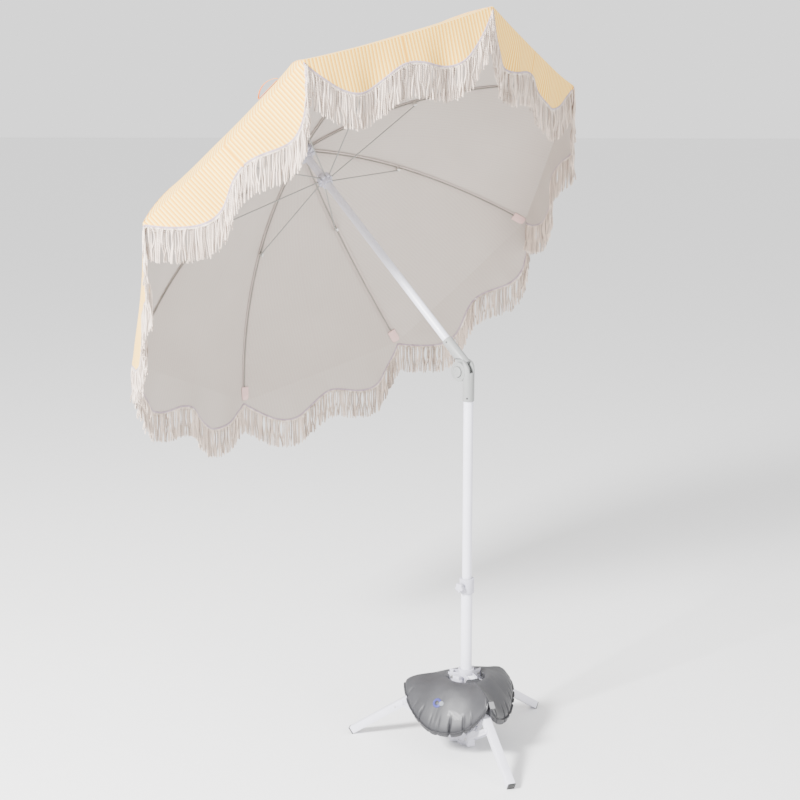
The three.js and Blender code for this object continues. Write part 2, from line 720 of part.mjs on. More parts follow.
function buildHead() {
  const { outer, inner, bottom, top } = UPPER_POLE;
  const finialSeat = domeCentre + DOME_RADIUS + GAP;
  add(poleFrame, "tilt_upper", tiltUpper(), greyPlastic());
  add(poleFrame, "upper_pole", pipe(outer, inner, bottom, top), whitePaint());
  add(poleFrame, "crown", crown(), whitePlastic());
  add(poleFrame, "runner", runner(), whitePlastic());
  const { radius, from, to, below } = CATCH;
  const button = outwards(radius, RUNNER_LENGTH - below, from, to, SMALL_ROUND);
  add(poleFrame, "runner_catch", button, whitePlastic());
  const finial = turned([
    [0, UPPER_POLE.top + 2 * GAP],
    [FINIAL.stem, UPPER_POLE.top + 2 * GAP],
    [FINIAL.stem, finialSeat],
    [FINIAL.cap, finialSeat],
    [FINIAL.cap, finialSeat + 4],
    [FINIAL.cap * 0.8, finialSeat + 9],
    [FINIAL.cap * 0.4, finialSeat + FINIAL.height - 1.5],
    [0, finialSeat + FINIAL.height],
  ]);
  add(poleFrame, "finial", finial, whitePlastic());
  add(poleFrame, "canopy", canopy(), yellowCloth());
  for (let k = 0; k < RIBS; k += 1) {
    const spoke = childGroup(poleFrame, FIRST_RIB_ANGLE + k * RIB_STEP);
    add(spoke, `rib_${k + 1}`, rib(), ribSteel());
    add(spoke, `strut_${k + 1}`, strut(), steel());
    add(object, `valance_${k + 1}`, valance(k), creamCloth());
  }
}

buildStand();
buildBag();
buildMast();
buildHead();

export default object;
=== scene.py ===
"""The looks of the beach umbrella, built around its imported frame. Metres, +Z up."""
import json
import math

import bmesh
import bpy
import numpy as np
from mathutils import Matrix, Vector, noise

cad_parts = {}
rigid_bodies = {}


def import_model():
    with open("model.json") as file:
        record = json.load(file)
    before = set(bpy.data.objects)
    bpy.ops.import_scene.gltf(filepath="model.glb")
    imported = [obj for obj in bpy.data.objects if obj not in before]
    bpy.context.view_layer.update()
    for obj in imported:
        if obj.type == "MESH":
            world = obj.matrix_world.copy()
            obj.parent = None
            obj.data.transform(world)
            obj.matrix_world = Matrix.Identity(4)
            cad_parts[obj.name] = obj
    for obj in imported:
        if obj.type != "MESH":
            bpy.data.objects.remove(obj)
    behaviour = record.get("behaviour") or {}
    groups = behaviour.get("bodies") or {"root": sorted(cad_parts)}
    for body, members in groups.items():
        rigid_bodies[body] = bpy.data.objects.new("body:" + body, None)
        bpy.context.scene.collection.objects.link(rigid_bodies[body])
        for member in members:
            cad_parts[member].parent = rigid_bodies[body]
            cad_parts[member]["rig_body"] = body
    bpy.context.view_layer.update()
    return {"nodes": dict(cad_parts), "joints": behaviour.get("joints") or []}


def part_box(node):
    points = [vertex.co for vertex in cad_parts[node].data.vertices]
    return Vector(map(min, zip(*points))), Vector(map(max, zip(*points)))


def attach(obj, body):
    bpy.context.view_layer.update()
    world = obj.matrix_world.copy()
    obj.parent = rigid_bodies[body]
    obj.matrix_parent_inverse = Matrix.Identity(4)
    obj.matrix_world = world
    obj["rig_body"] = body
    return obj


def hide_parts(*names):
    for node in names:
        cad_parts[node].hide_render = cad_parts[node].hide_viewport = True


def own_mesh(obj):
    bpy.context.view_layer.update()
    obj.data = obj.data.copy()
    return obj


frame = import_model()
joints = {joint["name"]: joint for joint in frame["joints"]}
rng = np.random.default_rng(7)

# ---------- the head's own frame, from the joints ----------
RIBS = 8
LEGS = 3
AXIS = -Vector(joints["runner_slide"]["axis"]).normalized()  # up the upper pole
DOWNHILL = -Vector(joints["runner_catch_push"]["axis"]).normalized()
SIDEWAYS = AXIS.cross(DOWNHILL)  # along the knuckle's bolt, towards the button
KNUCKLE = Vector(joints["tilt"]["pos_m"])
POLE_OFFSET = 0.030
POLE_FOOT = KNUCKLE - DOWNHILL * POLE_OFFSET
TIPS = [Vector(joints[f"valance_{k + 1}_hang"]["pos_m"]) for k in range(RIBS)]
TIP_LENGTH = (TIPS[0] - POLE_FOOT).dot(AXIS)
TIP_RADIUS = (TIPS[0] - POLE_FOOT - AXIS * TIP_LENGTH).length
SPOKES = [((tip - POLE_FOOT) - AXIS * TIP_LENGTH).normalized() for tip in TIPS]
AROUND = [AXIS.cross(spoke) for spoke in SPOKES]  # tangential direction at each rib

DOME_RADIUS = 1.277
DOME_CENTRE = TIP_LENGTH - math.sqrt(DOME_RADIUS**2 - TIP_RADIUS**2)
RIM_ANGLE = math.asin(TIP_RADIUS / DOME_RADIUS)
CROWN_ANGLE = 0.0075
CLOTH = 0.0012
SEAM_SAG = 0.030  # inward sag of a panel's middle, as a share of its half width
RIB_DEPTH = 0.006  # rib axis under the cloth's outer face
RIB_RADIUS = 0.0025
STRIPE = 0.0120

FLAP_EDGE = 0.082
FLAP_LOBE = 0.052
FLAP_LEAST = 0.010
FRINGE_LENGTH = 0.105
FRINGE_SPACING = 0.0048
HEADER = 0.007


# ---------- mesh helpers ----------
def new_object(name, mesh, *materials):
    piece = bpy.data.objects.new(name, mesh)
    bpy.context.scene.collection.objects.link(piece)
    for surface in materials:
        mesh.materials.append(surface)
    return piece


def fast_mesh(name, points, quads):
    """A mesh of quads from arrays, smooth shaded."""
    mesh = bpy.data.meshes.new(name)
    points = np.asarray(points, np.float32).reshape(-1, 3)
    quads = np.asarray(quads, np.int32).reshape(-1, 4)
    mesh.vertices.add(len(points))
    mesh.vertices.foreach_set("co", points.ravel())
    mesh.loops.add(len(quads) * 4)
    mesh.loops.foreach_set("vertex_index", quads.ravel())
    mesh.polygons.add(len(quads))
    mesh.polygons.foreach_set("loop_start", np.arange(len(quads), dtype=np.int32) * 4)
    mesh.polygons.foreach_set("use_smooth", np.ones(len(quads), bool))
    mesh.update(calc_edges=True)
    mesh.validate()
    return mesh


def sharpen(mesh, degrees):
    """Edges sharper than the angle stay crisp under smooth shading."""
    mesh.polygons.foreach_set("use_smooth", np.ones(len(mesh.polygons), bool))
    mesh.set_sharp_from_angle(angle=math.radians(degrees))


def face_outwards(mesh):
    shape = bmesh.new()
    shape.from_mesh(mesh)
    bmesh.ops.recalc_face_normals(shape, faces=shape.faces)
    shape.to_mesh(mesh)
    shape.free()


def tube_quads(rings, sides, start=0):
    """Quads of an open tube of rings, each of that many points."""
    i, j = np.meshgrid(np.arange(rings - 1), np.arange(sides), indexing="ij")
    k = (j + 1) % sides
    return start + np.stack(
        [i * sides + j, i * sides + k, (i + 1) * sides + k, (i + 1) * sides + j], -1
    ).reshape(-1, 4)


def along(points):
    """Unit tangents of a line of points."""
    points = np.asarray(points, float)
    tangents = np.gradient(points, axis=0)
    return tangents / np.linalg.norm(tangents, axis=1)[:, None]


def swept(points, outline, upwards):
    """Rings of an outline [(side, up), ...] carried along a line; upwards keeps it upright."""
    points = np.asarray(points, float)
    tangents = along(points)
    ups = np.broadcast_to(np.asarray(upwards, float), points.shape)
    sides = np.cross(tangents, ups)
    sides = sides / np.linalg.norm(sides, axis=1)[:, None]
    ups = np.cross(sides, tangents)
    outline = np.asarray(outline, float)
    if outline.ndim == 2:
        outline = np.broadcast_to(outline, (len(points), *outline.shape))
    return (
        points[:, None, :]
        + sides[:, None, :] * outline[:, :, :1]
        + ups[:, None, :] * outline[:, :, 1:]
    )


def sweep_piece(name, points, outline, upwards, *materials):
    """A capped solid along a line."""
    rings = swept(points, outline, upwards)
    count, sides = rings.shape[:2]
    shape = bmesh.new()
    rows = [[shape.verts.new(p) for p in ring] for ring in rings]
    for i in range(count - 1):
        for j in range(sides):
            k = (j + 1) % sides
            shape.faces.new((rows[i][j], rows[i][k], rows[i + 1][k], rows[i + 1][j]))
    shape.faces.new(rows[0][::-1])
    shape.faces.new(rows[-1])
    bmesh.ops.recalc_face_normals(shape, faces=shape.faces)
    mesh = bpy.data.meshes.new(name)
    shape.to_mesh(mesh)
    shape.free()
    sharpen(mesh, 40)
    return new_object(name, mesh, *materials)


def circle(radius, sides=12):
    turn = np.arange(sides) / sides * 2 * math.pi
    return np.stack([radius * np.cos(turn), radius * np.sin(turn)], 1)


def rounded_outline(half_width, half_height, power=4, sides=20):
    """A superellipse: round at power 2, nearly a rectangle above 6."""
    turn = np.arange(sides) / sides * 2 * math.pi
    c, s = np.cos(turn), np.sin(turn)
    return np.stack(
        [
            half_width * np.sign(c) * np.abs(c) ** (2 / power),
            half_height * np.sign(s) * np.abs(s) ** (2 / power),
        ],
        1,
    )


def turned_piece(name, profile, origin, direction, *materials, sides=32):
    """A solid turned about a line from (radius, distance) points; ends on the axis are closed."""
    direction = Vector(direction).normalized()
    turn = direction.to_track_quat("Z", "Y").to_matrix().to_4x4()
    place = Matrix.Translation(Vector(origin)) @ turn
    shape = bmesh.new()
    rows = []
    for radius, z in profile:
        if radius < 1e-6:
            rows.append([shape.verts.new((0, 0, z))])
            continue
        rows.append(
            [
                shape.verts.new((radius * math.cos(a), radius * math.sin(a), z))
                for a in np.arange(sides) / sides * 2 * math.pi
            ]
        )
    for low, high in zip(rows, rows[1:]):
        for j in range(sides):
            k = (j + 1) % sides
            corners = [low[j % len(low)], low[k % len(low)], high[k % len(high)], high[j % len(high)]]
            corners = list(dict.fromkeys(corners))
            if len(corners) > 2:
                shape.faces.new(corners)
    bmesh.ops.recalc_face_normals(shape, faces=shape.faces)
    shape.transform(place)
    mesh = bpy.data.meshes.new(name)
    shape.to_mesh(mesh)
    shape.free()
    sharpen(mesh, 35)
    return new_object(name, mesh, *materials)


def refined(node, material, width=0.0006, body=None, name=None):
    """A CAD node's own shape with its facets cleaned up, its edges rounded and smooth shading."""
    source = frame["nodes"][node]
    shape = bmesh.new()
    shape.from_mesh(source.data)
    bmesh.ops.remove_doubles(shape, verts=shape.verts, dist=2e-6)
    bmesh.ops.dissolve_limit(
        shape, angle_limit=math.radians(1.0), verts=shape.verts, edges=shape.edges
    )
    mesh = bpy.data.meshes.new(name or f"{node}_finish")
    shape.to_mesh(mesh)
    shape.free()
    mesh.materials.clear()
    piece = new_object(mesh.name, mesh, material)
    bevel = piece.modifiers.new("edge", "BEVEL")
    bevel.width = width
    bevel.segments = 2
    bevel.limit_method = "ANGLE"
    bevel.angle_limit = math.radians(38)
    bevel.use_clamp_overlap = True
    depsgraph = bpy.context.evaluated_depsgraph_get()
    rounded = bpy.data.meshes.new_from_object(piece.evaluated_get(depsgraph))
    piece.modifiers.clear()
    rounded.name = mesh.name
    piece.data = rounded
    sharpen(rounded, 32)
    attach(piece, body or source["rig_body"])
    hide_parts(node)
    return piece


# ---------- materials ----------
def surface(name, color, roughness, metallic=0.0, specular=0.5, sheen=0.0, coat=0.0):
    """A principled material with its constants on the shader's own sockets."""
    made = bpy.data.materials.new(name)
    made.use_nodes = True
    tree = made.node_tree
    shader = tree.nodes["Principled BSDF"]
    shader.inputs["Base Color"].default_value = (*color, 1)
    shader.inputs["Roughness"].default_value = roughness
    shader.inputs["Metallic"].default_value = metallic
    shader.inputs["Specular IOR Level"].default_value = specular
    shader.inputs["Sheen Weight"].default_value = sheen
    shader.inputs["Coat Weight"].default_value = coat
    return made, tree, shader


def texture(tree, kind, scale, coordinates="Object", **values):
    """A texture node fed by object or UV coordinates."""
    place = tree.nodes.new("ShaderNodeTexCoord")
    made = tree.nodes.new(kind)
    tree.links.new(place.outputs[coordinates], made.inputs["Vector"])
    made.inputs["Scale"].default_value = scale
    for key, value in values.items():
        made.inputs[key].default_value = value
    return made


def vary_color(tree, shader, texture_output, low, high, start=0.3, stop=0.7):
    ramp = tree.nodes.new("ShaderNodeValToRGB")
    ramp.color_ramp.elements[0].position = start
    ramp.color_ramp.elements[0].color = (*low, 1)
    ramp.color_ramp.elements[1].position = stop
    ramp.color_ramp.elements[1].color = (*high, 1)
    tree.links.new(texture_output, ramp.inputs["Fac"])
    tree.links.new(ramp.outputs["Color"], shader.inputs["Base Color"])
    return ramp


def vary_roughness(tree, shader, texture_output, low, high):
    spread = tree.nodes.new("ShaderNodeMapRange")
    spread.inputs["To Min"].default_value = low
    spread.inputs["To Max"].default_value = high
    tree.links.new(texture_output, spread.inputs["Value"])
    tree.links.new(spread.outputs["Result"], shader.inputs["Roughness"])


def add_bump(tree, shader, texture_output, strength, distance):
    bump = tree.nodes.new("ShaderNodeBump")
    bump.inputs["Strength"].default_value = strength
    bump.inputs["Distance"].default_value = distance
    tree.links.new(texture_output, bump.inputs["Height"])
    tree.links.new(bump.outputs["Normal"], shader.inputs["Normal"])
    return bump


def math_node(tree, operation, first, second=None):
    made = tree.nodes.new("ShaderNodeMath")
    made.operation = operation
    for socket, value in zip(made.inputs, (first, second)):
        if value is None:
            continue
        if isinstance(value, (int, float)):
            socket.default_value = value
        else:
            tree.links.new(value, socket)
    return made.outputs[0]


def plain(name, color, roughness, spread=0.03, metallic=0.0, specular=0.5, coat=0.0,
          grain=900, depth=0.00004):
    """Paint, plastic or metal: a faint colour drift, a roughness drift and a fine grain."""
    made, tree, shader = surface(name, color, roughness, metallic, specular, coat=coat)
    drift = texture(tree, "ShaderNodeTexNoise", 14, Detail=4.0)
    darker = tuple(c * (1 - spread) for c in color)
    lighter = tuple(min(1, c * (1 + spread)) for c in color)
    vary_color(tree, shader, drift.outputs["Fac"], darker, lighter)
    vary_roughness(tree, shader, drift.outputs["Fac"], roughness - 0.06, roughness + 0.08)
    fine = texture(tree, "ShaderNodeTexNoise", grain, Detail=2.0)
    add_bump(tree, shader, fine.outputs["Fac"], 0.25, depth)
    return made


def weave_height(tree, pitch):
    """Height of a plain weave: threads across and along, from UV metres."""
    place = tree.nodes.new("ShaderNodeUVMap")
    place.uv_map = "cloth"
    split = tree.nodes.new("ShaderNodeSeparateXYZ")
    tree.links.new(place.outputs["UV"], split.inputs[0])
    turn = 2 * math.pi / pitch
    warp = math_node(tree, "SINE", math_node(tree, "MULTIPLY", split.outputs["X"], turn))
    weft = math_node(tree, "SINE", math_node(tree, "MULTIPLY", split.outputs["Y"], turn))
    return math_node(tree, "MULTIPLY", warp, weft), split


# A repeat of the cloth's stripes: (place in the repeat, colour).
PALE, CREAM, GOLD = (0.98, 0.53, 0.055), (1.0, 0.74, 0.23), (0.82, 0.38, 0.025)
OUTER_STRIPES = [
    (0.00, GOLD), (0.22, GOLD), (0.27, PALE), (0.52, PALE), (0.57, CREAM), (0.90, CREAM),
    (0.95, GOLD), (1.00, GOLD),
]


def striped_cloth(name, stripes, roughness):
    made, tree, shader = surface(name, stripes[0][1], roughness, specular=0.25, sheen=0.12)
    height, split = weave_height(tree, 0.0011)
    repeat = math_node(tree, "FRACT", math_node(tree, "MULTIPLY", split.outputs["X"], 1 / STRIPE))
    ramp = tree.nodes.new("ShaderNodeValToRGB")
    steps = ramp.color_ramp.elements
    while len(steps) < len(stripes):
        steps.new(0.5)
    for step, (place, color) in zip(steps, stripes):
        step.position = place
        step.color = (*color, 1)
    tree.links.new(repeat, ramp.inputs["Fac"])
    drift = texture(tree, "ShaderNodeTexNoise", 7, Detail=5.0)
    shade = tree.nodes.new("ShaderNodeMapRange")
    shade.inputs["To Min"].default_value = 0.93
    shade.inputs["To Max"].default_value = 1.05
    tree.links.new(drift.outputs["Fac"], shade.inputs["Value"])
    tint = tree.nodes.new("ShaderNodeVectorMath")
    tint.operation = "SCALE"
    tree.links.new(ramp.outputs["Color"], tint.inputs[0])
    tree.links.new(shade.outputs["Result"], tint.inputs["Scale"])
    tree.links.new(tint.outputs["Vector"], shader.inputs["Base Color"])
    add_bump(tree, shader, height, 0.35, 0.00012)
    return made


def faded(color, into, share):
    return tuple(c * share + i * (1 - share) for c, i in zip(color, into))


LINING = (0.435, 0.41, 0.408)
INNER_STRIPES = [(place, faded(color, LINING, 0.10)) for place, color in OUTER_STRIPES]


def yarn(name, light, dark, scale=420):
    """Cotton yarn: a soft, fuzzy, slightly uneven colour."""
    made, tree, shader = surface(name, light, 0.85, specular=0.2, sheen=0.25)
    drift = texture(tree, "ShaderNodeTexNoise", 60, Detail=6.0)
    vary_color(tree, shader, drift.outputs["Fac"], dark, light, 0.25, 0.6)
    fibre = texture(tree, "ShaderNodeTexNoise", scale * 4, Detail=3.0)
    add_bump(tree, shader, fibre.outputs["Fac"], 0.5, 0.0003)
    return made


def strand_yarn(name):
    """Twisted cotton: each strand has its own random tone, with painted shade darkening the grooves
    between its plies.
    """
    made, tree, shader = surface(name, (0.85, 0.76, 0.66), 0.85, specular=0.2, sheen=0.25)
    place = tree.nodes.new("ShaderNodeUVMap")
    place.uv_map = "cloth"
    split = tree.nodes.new("ShaderNodeSeparateXYZ")
    tree.links.new(place.outputs["UV"], split.inputs[0])
    # High on the ply crests and low in the grooves: the bump's height, and painted shade in the
    # grooves.
    ply_height_and_groove_shade = math_node(tree, "ABSOLUTE", math_node(tree, "SINE", math_node(
        tree, "MULTIPLY", split.outputs["Y"], math.pi)))
    shade = math_node(tree, "ADD", math_node(tree, "MULTIPLY", ply_height_and_groove_shade, 0.5),
                      math_node(tree, "MULTIPLY", split.outputs["X"], 0.5))
    # Dark end of the ramp: painted shade in the grooves between plies; the per-strand part is random
    # tone.
    vary_color(tree, shader, shade, (0.10, 0.06, 0.04), (0.86, 0.71, 0.60), 0.10, 0.78)
    add_bump(tree, shader, ply_height_and_groove_shade, 0.6, 0.0006)
    return made


def vinyl(name):
    made, tree, shader = surface(name, (0.036, 0.036, 0.040), 0.48, specular=0.4, coat=0.03)
    drift = texture(tree, "ShaderNodeTexNoise", 9, Detail=6.0)
    vary_color(tree, shader, drift.outputs["Fac"], (0.028, 0.028, 0.031), (0.044, 0.044, 0.048))
    vary_roughness(tree, shader, drift.outputs["Fac"], 0.40, 0.55)
    grain = texture(tree, "ShaderNodeTexVoronoi", 700)
    soft = texture(tree, "ShaderNodeTexNoise", 38, Detail=4.0)
    mix = math_node(tree, "ADD", math_node(tree, "MULTIPLY", grain.outputs["Distance"], 0.06),
                    soft.outputs["Fac"])
    add_bump(tree, shader, mix, 0.35, 0.0016)
    return made


WHITE_PAINT = plain("white_paint", (0.66, 0.655, 0.73), 0.34, coat=0.15)
WHITE_PLASTIC = plain("white_plastic", (0.47, 0.46, 0.53), 0.42)
GREY_PLASTIC = plain("grey_plastic", (0.24, 0.245, 0.24), 0.48, grain=1500, depth=0.00008)
STEEL = plain("steel", (0.62, 0.61, 0.58), 0.34, metallic=0.9)
RIB_PAINT = plain("rib_paint", (0.25, 0.235, 0.20), 0.45, metallic=0.1)
STRUT_PAINT = plain("strut_paint", (0.26, 0.26, 0.24), 0.42, metallic=0.15)
BLACK = plain("black_plastic", (0.018, 0.018, 0.018), 0.5, spread=0.2)
OUTER_CLOTH = striped_cloth("outer_cloth", OUTER_STRIPES, 0.78)
INNER_CLOTH = striped_cloth("inner_cloth", INNER_STRIPES, 0.85)
SEAM = plain("seam_thread", (0.82, 0.50, 0.16), 0.85, spread=0.15)
SEAM_TAPE = plain("seam_tape", (0.50, 0.42, 0.38), 0.9, spread=0.06)
POCKET = plain("pocket_cloth", (0.66, 0.44, 0.41), 0.9, spread=0.06)
STRAP = plain("strap_webbing", (0.80, 0.30, 0.03), 0.8, spread=0.12)
TRIM = yarn("trim_braid", (0.44, 0.35, 0.39), (0.27, 0.20, 0.24))
COTTON = yarn("fringe_cotton", (0.74, 0.64, 0.55), (0.36, 0.27, 0.20))
STRANDS = strand_yarn("fringe_strands")
VINYL = vinyl("bag_vinyl")
VALVE_BLUE = plain("valve_blue", (0.040, 0.040, 0.19), 0.3, spread=0.2)
CLEAR_CAP = plain("valve_cap", (0.20, 0.21, 0.23), 0.2)
TAB = plain("bag_tab", (0.17, 0.17, 0.175), 0.55)


# ---------- camera, floor and light ----------
def camera():
    made = bpy.data.cameras.new("view")
    made.sensor_width = 36
    made.lens = 71.04
    place = bpy.data.objects.new("view", made)
    bpy.context.scene.collection.objects.link(place)
    yaw, pitch = math.radians(-2.531), math.radians(-11.345)
    forward = Vector(
        (math.sin(yaw) * math.cos(pitch), math.cos(yaw) * math.cos(pitch), math.sin(pitch))
    )
    place.location = (0, -5.0139, 2.1831)
    place.rotation_euler = forward.to_track_quat("-Z", "Y").to_euler()
    bpy.context.scene.camera = place


def area_light(name, place, target, size, power, color=(1, 1, 1)):
    made = bpy.data.lights.new(name, "AREA")
    made.size = size
    made.energy = power
    made.color = color
    lamp = bpy.data.objects.new(name, made)
    bpy.context.scene.collection.objects.link(lamp)
    lamp.location = place
    lamp.rotation_euler = (Vector(target) - Vector(place)).to_track_quat("-Z", "Y").to_euler()


def studio():
    points = [(x, y, 0) for x, y in ((-60, -60), (60, -60), (60, 60), (-60, 60))]
    floor = new_object("floor", fast_mesh("floor", points, [(0, 1, 2, 3)]),
                       plain("floor_paper", (0.86, 0.86, 0.86), 0.9, spread=0.005))
    world = bpy.data.worlds.new("studio")
    world.use_nodes = True
    sky = world.node_tree.nodes["Background"]
    sky.inputs["Color"].default_value = (1.0, 1.0, 1.0, 1)
    sky.inputs["Strength"].default_value = 1.6
    bpy.context.scene.world = world
    area_light("key", (-3.6, -4.2, 4.4), (-0.3, 0.2, 1.6), 1.3, 1900)
    area_light("fill", (3.8, -3.6, 2.6), (-0.1, 0.2, 1.2), 2.0, 130)


# ---------- canopy ----------
def head_point(spoke, radius, length):
    return POLE_FOOT + spoke * radius + AXIS * length


def ridge_point(k, angle, depth=0.0):
    """Point of rib k's meridian, at a depth under the cloth's outer face."""
    radius = DOME_RADIUS - depth
    return head_point(
        SPOKES[k % RIBS], radius * math.sin(angle), DOME_CENTRE + radius * math.cos(angle)
    )


CENTRE = POLE_FOOT + AXIS * DOME_CENTRE


def cloth_point(k, angle, across, depth=0.0):
    """Point of the cloth near rib k; across runs from -1 to 1, between the two panels' middles."""
    side = 1 if across >= 0 else -1
    share = abs(across)
    here, there = ridge_point(k, angle), ridge_point(k + side, angle)
    point = here.lerp(there, share / 2)
    half_width = (there - here).length / 2
    inwards = (CENTRE - here.lerp(there, 0.5)).normalized()
    near_rib = (CENTRE - here).normalized()
    inwards = near_rib.lerp(inwards, min(1, share * 4)).normalized()
    sag = SEAM_SAG * half_width * share * (2 - share)
    loose = noise.noise(point * 5.0) * 0.0035 * min(1, share * 5) * min(1, half_width * 5)
    pucker = math.sin(angle * 190) * 0.0006 * math.exp(-share * half_width / 0.02)
    return point + inwards * (sag + loose + pucker + depth)


def two_layers(rows, width):
    """Faces of two sheets of points and the walls between them, and which are inside."""
    layer = rows * width
    faces, inside = [], []
    for i in range(rows - 1):
        for j in range(width - 1):
            a = i * width + j
            faces.append((a, a + width, a + width + 1, a + 1))
            inside.append(0)
            b = a + layer
            faces.append((b, b + 1, b + width + 1, b + width))
            inside.append(1)
    for i in range(rows - 1):
        for j in (0, width - 1):
            a = i * width + j
            wall = (a, a + layer, a + layer + width, a + width)
            faces.append(wall if j == 0 else wall[::-1])
            inside.append(0)
    for j in range(width - 1):
        for i in (0, rows - 1):
            a = i * width + j
            wall = (a, a + 1, a + 1 + layer, a + layer)
            faces.append(wall if i == 0 else wall[::-1])
            inside.append(0)
    return faces, inside


def sector(k):
    """The cloth from the middle of one panel, over rib k, to the middle of the next."""
    steps, columns = 56, 17
    side = np.linspace(0, 1, columns) ** 1.3
    across = np.concatenate([-side[::-1], side[1:]])
    angles = np.linspace(CROWN_ANGLE, RIM_ANGLE, steps)
    points, uvs = [], []
    for depth in (0.0, CLOTH):
        for angle in angles:
            half = (ridge_point(k, angle) - ridge_point(k + 1, angle)).length / 2
            for t in across:
                points.append(cloth_point(k, angle, t, depth))
                uvs.append(((1 - abs(t)) * half, angle * DOME_RADIUS))
    faces, inside = two_layers(steps, len(across))
    mesh = fast_mesh(f"canopy_cloth_{k + 1}", points, faces)
    finish_cloth(mesh, uvs, inside)
    piece = new_object(mesh.name, mesh, OUTER_CLOTH, INNER_CLOTH)
    soft_on(piece, f"rib{k + 1}")
    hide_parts("canopy")
    return piece


def finish_cloth(mesh, uvs, inside):
    """UVs in metres, the lining's material, and outward faces."""
    layer = mesh.uv_layers.new(name="cloth")
    corner = np.zeros(len(mesh.loops), np.int32)
    mesh.loops.foreach_get("vertex_index", corner)
    layer.data.foreach_set("uv", np.asarray(uvs, np.float32)[corner].ravel())
    mesh.polygons.foreach_set("material_index", np.asarray(inside, np.int32))
    face_outwards(mesh)
    sharpen(mesh, 50)


def soft_on(piece, body):
    """Cloth that rides with the given body, on a mesh of its own."""
    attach(piece, body)
    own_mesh(piece)


def seams(k):
    """The stitched ridge over the rib, and the folded allowance taped inside."""
    angles = np.linspace(0.03, RIM_ANGLE - 0.002, 60)
    ridge = [ridge_point(k, a, -0.0002) for a in angles]
    ups = [(p - CENTRE).normalized() for p in ridge]
    outline = rounded_outline(0.0021, 0.0007, 2.5, 10)
    line = sweep_piece(f"seam_{k + 1}", ridge, outline, ups, SEAM)
    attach(line, f"rib{k + 1}")
    inner = [ridge_point(k, a, 0.0017) for a in angles]
    tape_outline = [(-0.0105, -0.0042), (0, 0.0002), (0.0105, -0.0042),
                    (0.0105, -0.0056), (0, -0.0012), (-0.0105, -0.0056)]
    tape = sweep_piece(f"seam_tape_{k + 1}", inner, tape_outline, ups, SEAM_TAPE)
    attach(tape, f"rib{k + 1}")


def pocket(k):
    """The sewn pocket that holds the rib's end."""
    start, end = RIM_ANGLE - 0.042, RIM_ANGLE - 0.004
    angles = np.linspace(start, end, 14)
    points = [ridge_point(k, a, CLOTH + 0.0003) for a in angles]
    ups = [(p - CENTRE).normalized() for p in points]
    outlines = []
    for s in np.linspace(0, 1, 14):
        wide = 0.0155 * (1.05 if s < 0.08 else 1 - 0.35 * max(0, (s - 0.75) / 0.25) ** 2)
        deep = 0.0092 * (1 - 0.5 * max(0, (s - 0.7) / 0.3))
        fall = wide * 0.42
        outlines.append([(-wide, -fall), (0, 0), (wide, -fall), (wide, -fall - 0.0022),
                         (0.0075, -deep), (0.003, -deep - 0.0010), (-0.003, -deep - 0.0010),
                         (-0.0075, -deep), (-wide, -fall - 0.0022)])
    piece = sweep_piece(f"rib_pocket_{k + 1}", points, outlines, ups, POCKET)
    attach(piece, f"rib{k + 1}")
    stitch_points = [ridge_point(k, RIM_ANGLE - 0.037, CLOTH + 0.0028 + abs(x) * 0.42
                                 + max(0, 0.0072 - abs(x) * 0.95)) + AROUND[k] * x
                     for x in np.linspace(-0.013, 0.013, 15)]
    stitch = sweep_piece(f"pocket_stitch_{k + 1}", stitch_points,
                         circle(0.0005, 6), AXIS, SEAM)
    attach(stitch, f"rib{k + 1}")


# ---------- valance and fringe ----------
def flap_depth(share):
    """Depth of the scalloped flap at a share of the way between two tips."""
    rise = 1 - abs(2 * share - 1) ** 6
    lobes = (1 - math.cos(4 * math.pi * share)) / 2
    return FLAP_LEAST + (FLAP_EDGE - FLAP_LEAST) * rise + FLAP_LOBE * lobes


def flap_point(k, side, share, drop, depth=0.0):
    """Point of the flap beside tip k: share of the edge towards the neighbour, drop in metres."""
    tip, other = TIPS[k], TIPS[(k + side) % RIBS]
    edge = (other - tip).normalized()
    down = Vector((0, 0, -1))
    down = (down - edge * down.dot(edge)).normalized()
    outwards = edge.cross(down) * -side
    top = cloth_point(k, RIM_ANGLE, side * share * 2)
    forward = share if side > 0 else 1 - share
    first = k if side > 0 else (k + side) % RIBS
    wave = math.sin(forward * 15.5 + first * 1.9) + 0.5 * math.sin(forward * 34 + first * 2.7)
    ends = min(1.0, share * 14)
    ripple = wave * 0.0075 * ends * (drop / 0.12) ** 1.3
    return top + down * drop + outwards * (ripple - depth)


def flap(k):
    """The scalloped flap on both sides of tip k, as one sheet."""
    columns, rows = 27, 15
    shares = [(-1, s) for s in np.linspace(0.5, 0, columns)[:-1]]
    shares += [(1, s) for s in np.linspace(0, 0.5, columns)]
    points, uvs = [], []
    rim = (TIPS[k] - TIPS[(k + 1) % RIBS]).length
    arc = RIM_ANGLE * DOME_RADIUS
    for depth in (0.0, CLOTH):
        for i in range(rows):
            for side, share in shares:
                drop = flap_depth(share) * i / (rows - 1)
                points.append(flap_point(k, side, share, drop, depth))
                uvs.append(((0.5 - share) * rim, arc + drop))
    faces, inside = two_layers(rows, len(shares))
    mesh = fast_mesh(f"valance_cloth_{k + 1}", points, faces)
    finish_cloth(mesh, uvs, inside)
    piece = new_object(mesh.name, mesh, OUTER_CLOTH, INNER_CLOTH)
    soft_on(piece, f"flap{k + 1}")
    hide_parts(f"valance_{k + 1}")
    return piece


def hem_line(k, count=400):
    """The flap's lower edge from the middle of one side to the middle of the other."""
    shares = [(-1, s) for s in np.linspace(0.5, 0, count // 2)[:-1]]
    shares += [(1, s) for s in np.linspace(0, 0.5, count // 2)]
    points, drops = [], []
    for side, share in shares:
        depth = flap_depth(share)
        points.append(flap_point(k, side, share, depth, CLOTH / 2))
        low = flap_point(k, side, share, depth + 0.01, CLOTH / 2)
        drops.append((low - flap_point(k, side, share, depth, CLOTH / 2)).normalized())
    return np.array(points), np.array(drops)


